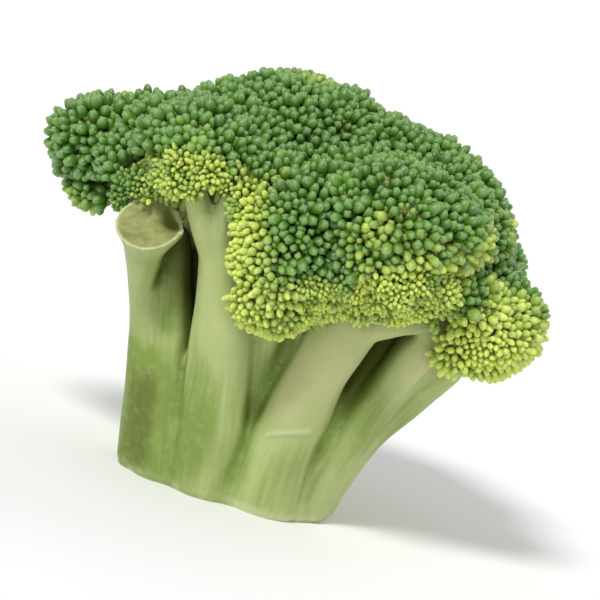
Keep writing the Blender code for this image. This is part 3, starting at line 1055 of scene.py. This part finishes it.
def makeStalk():
    # the fused skin is rounded, sliced at the stub, made wavy and ribbed along its fibres, given its scar,
    # drawn in towards the foot and cut off flat
    mesh = fusedSkin()
    points, edges, _ = meshArrays(mesh)
    points, cut = sliceStub(relax(points, edges, stalk["rounding"]))
    placePoints(mesh, points)
    mesh.update()
    points, edges, normals = meshArrays(mesh)
    # how sheltered each point is and how far it lies in a hollow: the skin's colour turns both into painted
    # shade
    sheltered = evened(shelter(points, normals, mesh), edges, stalk["shelterEvening"])
    hollow = ((relax(points, edges, stalk["hollowReach"]) - points) * normals).sum(1)
    fibre = fibreCoordinates(points)
    wander = stalk["ribWander"] * softNoise(points * [1, 1, 0.15], 9, 3)
    rib = np.sin(fibre[:, 0] * stalk["ribPitch"] + wander + fibre[:, 2] * stalk["ribLimb"])
    ridge, below = scarShape(points)
    lift = (stalk["waviness"] * softNoise(points, stalk["wave"], 8) + stalk["ribs"] * rib) * (1 - cut[:, 0])
    lift += stalk["scarRidge"] * ridge - stalk["scarStep"] * below
    points = points + normals * lift[:, None]
    drawn = stalk["drawnIn"] * np.clip(1 - points[:, 2] / stalk["rim"], 0, 1)**2
    points = points - normals * [1, 1, 0] * drawn[:, None]
    placePoints(mesh, points)
    mesh.update()
    skin = np.stack([skinToneAndShade(points), ridge, sheltered], axis=1)
    for key, value in {"fibre": fibre, "hollow": hollow, "skin": skin, "slice": cut}.items():
        writeValue(mesh, key, value)
    cutFoot(mesh)
    return newObject("stalkSkin", mesh)


def cutFoot(mesh):
    # everything below Z = 0 is sliced off and the slice closed with one flat face
    builder = bmesh.new()
    builder.from_mesh(mesh)
    whole = builder.verts[:] + builder.edges[:] + builder.faces[:]
    cut = bmesh.ops.bisect_plane(builder, geom=whole, plane_co=(0, 0, 0), plane_no=(0, 0, -1),
                                 clear_outer=True, dist=1e-8)
    rim = [e for e in cut["geom_cut"] if isinstance(e, bmesh.types.BMEdge)]
    made = bmesh.ops.holes_fill(builder, edges=rim, sides=0)
    for face in made["faces"]:
        face.smooth = False
        for edge in face.edges:
            edge.smooth = False
    bmesh.ops.triangulate(builder, faces=made["faces"])
    bmesh.ops.recalc_face_normals(builder, faces=builder.faces)
    builder.to_mesh(mesh)
    builder.free()


def sprigStarts(index, heads):
    # a ripe head's sprig goes on from its fork; a young head's springs from the opening's foot line, at the
    # same share of the way across as the head itself
    if index < len(clusterNames):
        middle, tip = forkRoutes[forkOfUmbel[heads], 1], forkRoutes[forkOfUmbel[heads], 2]
        start = tip - unit(tip - middle) * forks["sprigInside"]
        return start, start + (tip - middle) * forks["sprigBend"]
    dice = np.random.default_rng(index)
    opening = list(openings.values())[index - len(clusterNames)]
    x = umbels["place"][heads, 0]
    share = (x - x.min()) / (x.max() - x.min())
    start = alongLine(opening["feet"], share) + dice.normal(size=(len(heads), 3)) * forks["footAstray"]
    return start, start + (hubPoints()[heads] - start) * forks["footBend"]


def sprigMesh(name, index):
    # one sprig to each small head's hub, and one fine stem from the hub to each bud's foot
    heads = np.flatnonzero(umbels["owner"] == index)
    hubs, normal, scale = hubPoints(), umbels["normal"], umbels["scale"][:, None]
    start, control = sprigStarts(index, heads)
    end = hubs[heads] + normal[heads] * forks["sprigPast"] * scale[heads]
    before = end - normal[heads] * forks["sprigStraight"] * scale[heads]
    sprigs = bezier(np.stack([start, control, before, end], axis=1), forks["sprigSteps"])
    chosen = np.flatnonzero(np.isin(buds["head"], heads))
    head, axis = buds["head"][chosen], buds["axis"][chosen]
    foot = buds["place"][chosen] - axis * (bud["length"] * forks["budFoot"] * scale[head])
    out = foot - hubs[head]
    bend = hubs[head] + forks["stemBend"] * (out + normal[head] * np.linalg.norm(out, axis=1, keepdims=True))
    before = foot - axis * forks["stemStraight"] * scale[head]
    stems = bezier(np.stack([hubs[head], bend, before, foot], axis=1), forks["stemSteps"])
    sprigRadii = radiusAlong(forks["sprigGirth"], forks["sprigSteps"]) * scale[heads]**forks["sprigThinner"]
    stemRadii = radiusAlong(forks["stemGirth"], forks["stemSteps"]) * scale[head]**forks["stemThinner"]
    parts = [tubes(sprigs, sprigRadii, forks["sprigSides"]), tubes(stems, stemRadii, forks["stemSides"])]
    eachStem = len(parts[1][0]) // max(len(stems), 1)
    tone = np.concatenate([np.zeros(len(parts[0][0])), np.repeat(buds["ripe"][chosen], eachStem)])
    return makePiece(name, *joined(parts), {"tone": tone})


# Finishes

def newMaterial(name, roughness, specular, subsurface=0):
    made = bpy.data.materials.new(name)
    made.use_nodes = True
    shader = made.node_tree.nodes["Principled BSDF"]
    shader.inputs["Roughness"].default_value = roughness
    shader.inputs["Specular IOR Level"].default_value = specular
    if subsurface:
        shader.inputs["Subsurface Weight"].default_value = subsurface
        shader.inputs["Subsurface Radius"].default_value = (1.0, 1.0, 0.35)
        shader.inputs["Subsurface Scale"].default_value = 0.8 * mm
    return made, shader


class Graph:
    # a short way to write a node tree: each call adds a node and links what it is given
    def __init__(self, material):
        self.tree = material.node_tree

    def node(self, kind, inputs=None, **settings):
        made = self.tree.nodes.new(kind)
        for key, value in settings.items():
            setattr(made, key, value)
        for key, value in (inputs or {}).items():
            self.put(made.inputs[key], value)
        return made

    def put(self, socket, value):
        if isinstance(value, bpy.types.NodeSocket):
            self.tree.links.new(value, socket)
        else:
            socket.default_value = value

    def attribute(self, name):
        return self.node("ShaderNodeAttribute", attribute_name=name)

    def split(self, vector):
        return self.node("ShaderNodeSeparateXYZ", {"Vector": vector}).outputs

    def math(self, operation, a, b=0.0, clamp=False):
        return self.node("ShaderNodeMath", {0: a, 1: b}, operation=operation, use_clamp=clamp).outputs[0]

    def ramp(self, value, low, high):
        return self.node("ShaderNodeMapRange", {"Value": value, "From Min": low, "From Max": high},
                         interpolation_type="SMOOTHSTEP").outputs[0]

    def mix(self, factor, a, b, blend="MIX"):
        made = self.tree.nodes.new("ShaderNodeMix")
        made.data_type, made.blend_type = "RGBA", blend
        for index, value in ((0, factor), (6, a), (7, b)):
            if not isinstance(value, bpy.types.NodeSocket) and index > 0:
                value = (*value, 1.0)
            self.put(made.inputs[index], value)
        return made.outputs[2]

    def noise(self, scale, detail=2.0, roughness=0.5, vector=None):
        vector = vector or self.node("ShaderNodeTexCoord").outputs["Object"]
        return self.node("ShaderNodeTexNoise", {"Vector": vector, "Scale": scale, "Detail": detail,
                                                "Roughness": roughness}).outputs["Fac"]


budLook = {
    "dark": (0.042, 0.135, 0.015),
    "green": (0.140, 0.325, 0.036),
    "yellow": (0.435, 0.595, 0.058),
    "paleYellow": (0.660, 0.755, 0.185),
    "bloom": (0.300, 0.460, 0.190),
    "foot": (0.180, 0.330, 0.030),
    "roughness": 0.30,
}


def makeBudSkin():
    material, shader = newMaterial("budSkin", budLook["roughness"], 0.40, subsurface=0.32)
    g = Graph(material)
    ripe, tone, tipness = g.split(g.attribute("look").outputs["Vector"])
    seam = g.attribute("seam").outputs["Fac"]
    green = g.mix(tone, budLook["dark"], budLook["green"])
    yellow = g.mix(tone, budLook["yellow"], budLook["paleYellow"])
    body = g.mix(g.ramp(ripe, 0.08, 0.85), green, yellow)
    # the tips are lighter, partly the buds' waxy bloom and partly a painted highlight; the seams keep the
    # body colour
    bloom = g.math("MULTIPLY", g.ramp(tipness, 0.55, 0.98), 0.60)
    colour = g.mix(bloom, body, g.mix(g.ramp(ripe, 0.2, 0.8), budLook["bloom"], budLook["paleYellow"]))
    foot = g.math("MULTIPLY", g.ramp(tipness, 0.45, 0.05), 0.6)
    colour = g.mix(foot, colour, g.mix(ripe, budLook["foot"], budLook["yellow"]))
    colour = g.mix(g.math("MULTIPLY", g.ramp(seam, 0.25, 0.95), 0.55), colour, body)
    g.put(shader.inputs["Base Color"], colour)
    return material


stemLook = {
    "pale": (0.410, 0.482, 0.190),
    "green": (0.205, 0.290, 0.060),
    "deepGreen": (0.130, 0.170, 0.030),
    "deep": (0.105, 0.135, 0.012),
    "tan": (0.510, 0.520, 0.245),
    "cream": (0.600, 0.640, 0.370),
    "flesh": (0.345, 0.355, 0.135),
    "bruise": (0.110, 0.130, 0.020),
    "roughness": 0.46,
}


def makeStemSkin():
    material, shader = newMaterial("stemSkin", stemLook["roughness"], 0.22, subsurface=0.15)
    g = Graph(material)
    across, down, branch = g.split(g.attribute("fibre").outputs["Vector"])
    tone, ridge, sheltered = g.split(g.attribute("skin").outputs["Vector"])
    face, fromMiddle, dent = g.split(g.attribute("slice").outputs["Vector"])
    stretched = g.node("ShaderNodeCombineXYZ", {
        "X": across, "Y": g.math("MULTIPLY", down, 0.07), "Z": g.math("MULTIPLY", branch, 3.7)}).outputs[0]
    streak = g.noise(0.45, 3.0, 0.55, stretched)
    fibre = g.noise(1.7, 2.0, 0.5, stretched)
    speck = g.noise(700.0, 2.0)
    hollow = g.attribute("hollow").outputs["Fac"]
    _, _, height = g.split(g.node("ShaderNodeTexCoord").outputs["Object"])
    streaked = g.math("ADD", g.math("MULTIPLY", streak, 0.85), g.math("MULTIPLY", fibre, 0.35))
    greenness = g.math("ADD", g.math("SUBTRACT", streaked, 0.25), g.math("MULTIPLY", tone, 0.65))
    colour = g.mix(g.ramp(greenness, 0.25, 1.0), stemLook["pale"], stemLook["green"])
    # the deepest green is partly the skin's own and partly painted shade from the stretches
    colour = g.mix(g.ramp(greenness, 1.0, 1.9), colour, stemLook["deepGreen"])
    colour = g.mix(g.ramp(tone, -0.25, -1.1), colour, stemLook["tan"])
    colour = g.mix(g.math("MULTIPLY", g.ramp(speck, 0.45, 0.75), 0.10), colour, stemLook["cream"])
    # painted shade: the skin is darkened in the hollows and creases between the limbs
    colour = g.mix(g.ramp(hollow, 0.06, 0.60), colour, stemLook["deep"])
    # painted shade: the skin is darkened where the stalk shelters itself
    colour = g.mix(g.math("MULTIPLY", g.ramp(sheltered, 0.26, 0.74), 0.90), colour, stemLook["deep"])
    patches = g.math("ADD", 0.25, g.math("MULTIPLY", g.ramp(g.noise(180.0, 3.0), 0.42, 0.62), 0.6))
    rim = g.math("MULTIPLY", g.ramp(height, 2 * mm, 0.2 * mm), patches)
    colour = g.mix(g.math("MAXIMUM", rim, g.math("MULTIPLY", ridge, 0.55)), colour, stemLook["cream"])
    mottle = g.ramp(g.math("ADD", g.noise(330.0, 4.0, 0.65), g.math("MULTIPLY", speck, 0.25)), 0.46, 0.86)
    # the cut flesh is mottled with bruising, and its dent is painted in shade with the same dark colour
    flesh = g.mix(g.math("MULTIPLY", mottle, 0.55), stemLook["flesh"], stemLook["bruise"])
    flesh = g.mix(g.math("MULTIPLY", g.ramp(dent, 0.03, 0.45), 0.9), flesh, stemLook["bruise"])
    flesh = g.mix(g.math("MULTIPLY", g.ramp(fromMiddle, 0.84, 0.94), 0.8), flesh, stemLook["cream"])
    colour = g.mix(g.ramp(face, 0.3, 0.7), colour, flesh)
    g.put(shader.inputs["Base Color"], colour)
    bump = g.node("ShaderNodeBump", {"Height": streaked, "Strength": 0.22, "Distance": 0.25 * mm})
    g.put(shader.inputs["Normal"], bump.outputs[0])
    return material


sprigLook = {
    "green": (0.270, 0.380, 0.075),
    "pale": (0.440, 0.500, 0.150),
    "yellow": (0.560, 0.590, 0.150),
    "roughness": 0.45,
}


def makeSprigSkin():
    material, shader = newMaterial("sprigSkin", sprigLook["roughness"], 0.35)
    g = Graph(material)
    ripe = g.attribute("tone").outputs["Fac"]
    colour = g.mix(g.ramp(g.noise(400.0), 0.35, 0.65), sprigLook["green"], sprigLook["pale"])
    colour = g.mix(g.math("MULTIPLY", ripe, 0.6), colour, sprigLook["yellow"])
    g.put(shader.inputs["Base Color"], colour)
    return material


budSkin, stemSkin, sprigSkin = makeBudSkin(), makeStemSkin(), makeSprigSkin()

stalkPiece = makeStalk()
stalkPiece.data.materials.append(stemSkin)
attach(stalkPiece, "root")
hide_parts("stalk")
print(f"stalk made, {len(stalkPiece.data.polygons)} faces")

for index, name in enumerate(clusterNames + list(openings)):
    title = "".join(word[0].upper() + word[1:] for word in name.removeprefix("buds_").split("_"))
    mine = np.flatnonzero(umbels["owner"][buds["head"]] == index)
    budPiece = budMesh("buds" + title, {key: value[mine] for key, value in buds.items()})
    budPiece.data.materials.append(budSkin)
    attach(budPiece, "root")
    if name in clusterNames:
        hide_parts(name)
    sprigPiece = sprigMesh("sprigs" + title, index)
    sprigPiece.data.materials.append(sprigSkin)
    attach(sprigPiece, "root")
    print(f"{name}: {len(mine)} buds, {len(budPiece.data.polygons) + len(sprigPiece.data.polygons)} faces")


# Floor, light and camera

studio = {
    "floor": (0.93, 0.93, 0.93),
    "flat": 4.0,     # metres from the middle to where the floor bends up, and the radius of the bend
    "bend": 2.0,
    "around": 96,    # points round the floor and up its bend
    "up": 24,
    "world": 0.50,
    # each lamp is a broad soft sun: where its light comes from, its strength and how wide it looks in degrees
    "keySun": {"come": (-0.35, -0.75, 0.95), "strength": 2.1, "width": 14},
    "backSun": {"come": (0.5, 0.8, 0.6), "strength": 0.55, "width": 50},
}


def sunLamp(name, come, strength, width):
    light = bpy.data.lights.new(name, "SUN")
    light.energy, light.angle = strength, np.radians(width)
    newObject(name, light).rotation_euler = Vector(come).to_track_quat("Z", "Y").to_euler()


def makeFloor():
    # a flat round floor that bends up into a wall all round: the profile's radius is flat + bend sin(a) and
    # its height bend (1 - cos(a)), turned about Z
    a = np.linspace(0, np.pi / 2, studio["up"])
    radius = np.concatenate([[studio["flat"] / 2], studio["flat"] + studio["bend"] * np.sin(a)])[:, None]
    height = np.concatenate([[0], studio["bend"] * (1 - np.cos(a))])[:, None]
    around = studio["around"]
    turn = np.arange(around) * 2 * np.pi / around
    rings = np.stack([radius * np.cos(turn), radius * np.sin(turn), height + 0 * turn], -1)
    quads, fans = turnedOver(*ringFaces(len(radius), around))
    return makePiece("floor", np.concatenate([rings.reshape(-1, 3), [[0, 0, 0]]]) / mm, quads, fans[:around])


def makeStudio():
    floor = makeFloor()
    material, shader = newMaterial("paleFloor", 0.8, 0.2)
    shader.inputs["Base Color"].default_value = (*studio["floor"], 1)
    floor.data.materials.append(material)
    world = bpy.data.worlds.new("studio")
    bpy.context.scene.world = world
    world.use_nodes = True
    world.node_tree.nodes["Background"].inputs["Color"].default_value = (1, 1, 1, 1)
    world.node_tree.nodes["Background"].inputs["Strength"].default_value = studio["world"]
    for name in ("keySun", "backSun"):
        sunLamp(name, **studio[name])


shot = {
    "elevation": 10.0,          # degrees above the floor
    "lean": 17.3,               # the head leans this far to the right in the photo, so the camera rolls
    "aim": (3.5, 0.0, 33.2),
    "across": 97.5,             # width of the view at the head
    "distance": 800.0,
}


def makeCamera():
    # in front of the head, lifted by the elevation and rolled by the lean
    up = np.radians(shot["elevation"])
    lean = np.radians(shot["lean"])
    back = Vector((0, -np.cos(up), np.sin(up)))
    screenUp = Vector((0, np.sin(up), np.cos(up)))
    right = Vector((np.cos(lean), 0, 0)) + screenUp * np.sin(lean)
    top = back.cross(right)
    data = bpy.data.cameras.new("camera")
    data.sensor_width = 36
    data.lens = data.sensor_width * shot["distance"] / shot["across"]
    data.clip_start, data.clip_end = 0.01, 50
    camera = newObject("camera", data)
    turn = Matrix((right, top, back)).transposed().to_4x4()
    camera.matrix_world = Matrix.Translation((Vector(shot["aim"]) + back * shot["distance"]) * mm) @ turn
    bpy.context.scene.camera = camera


makeStudio()
makeCamera()
bpy.context.scene.view_settings.view_transform = "Standard"
print("studio and camera set")
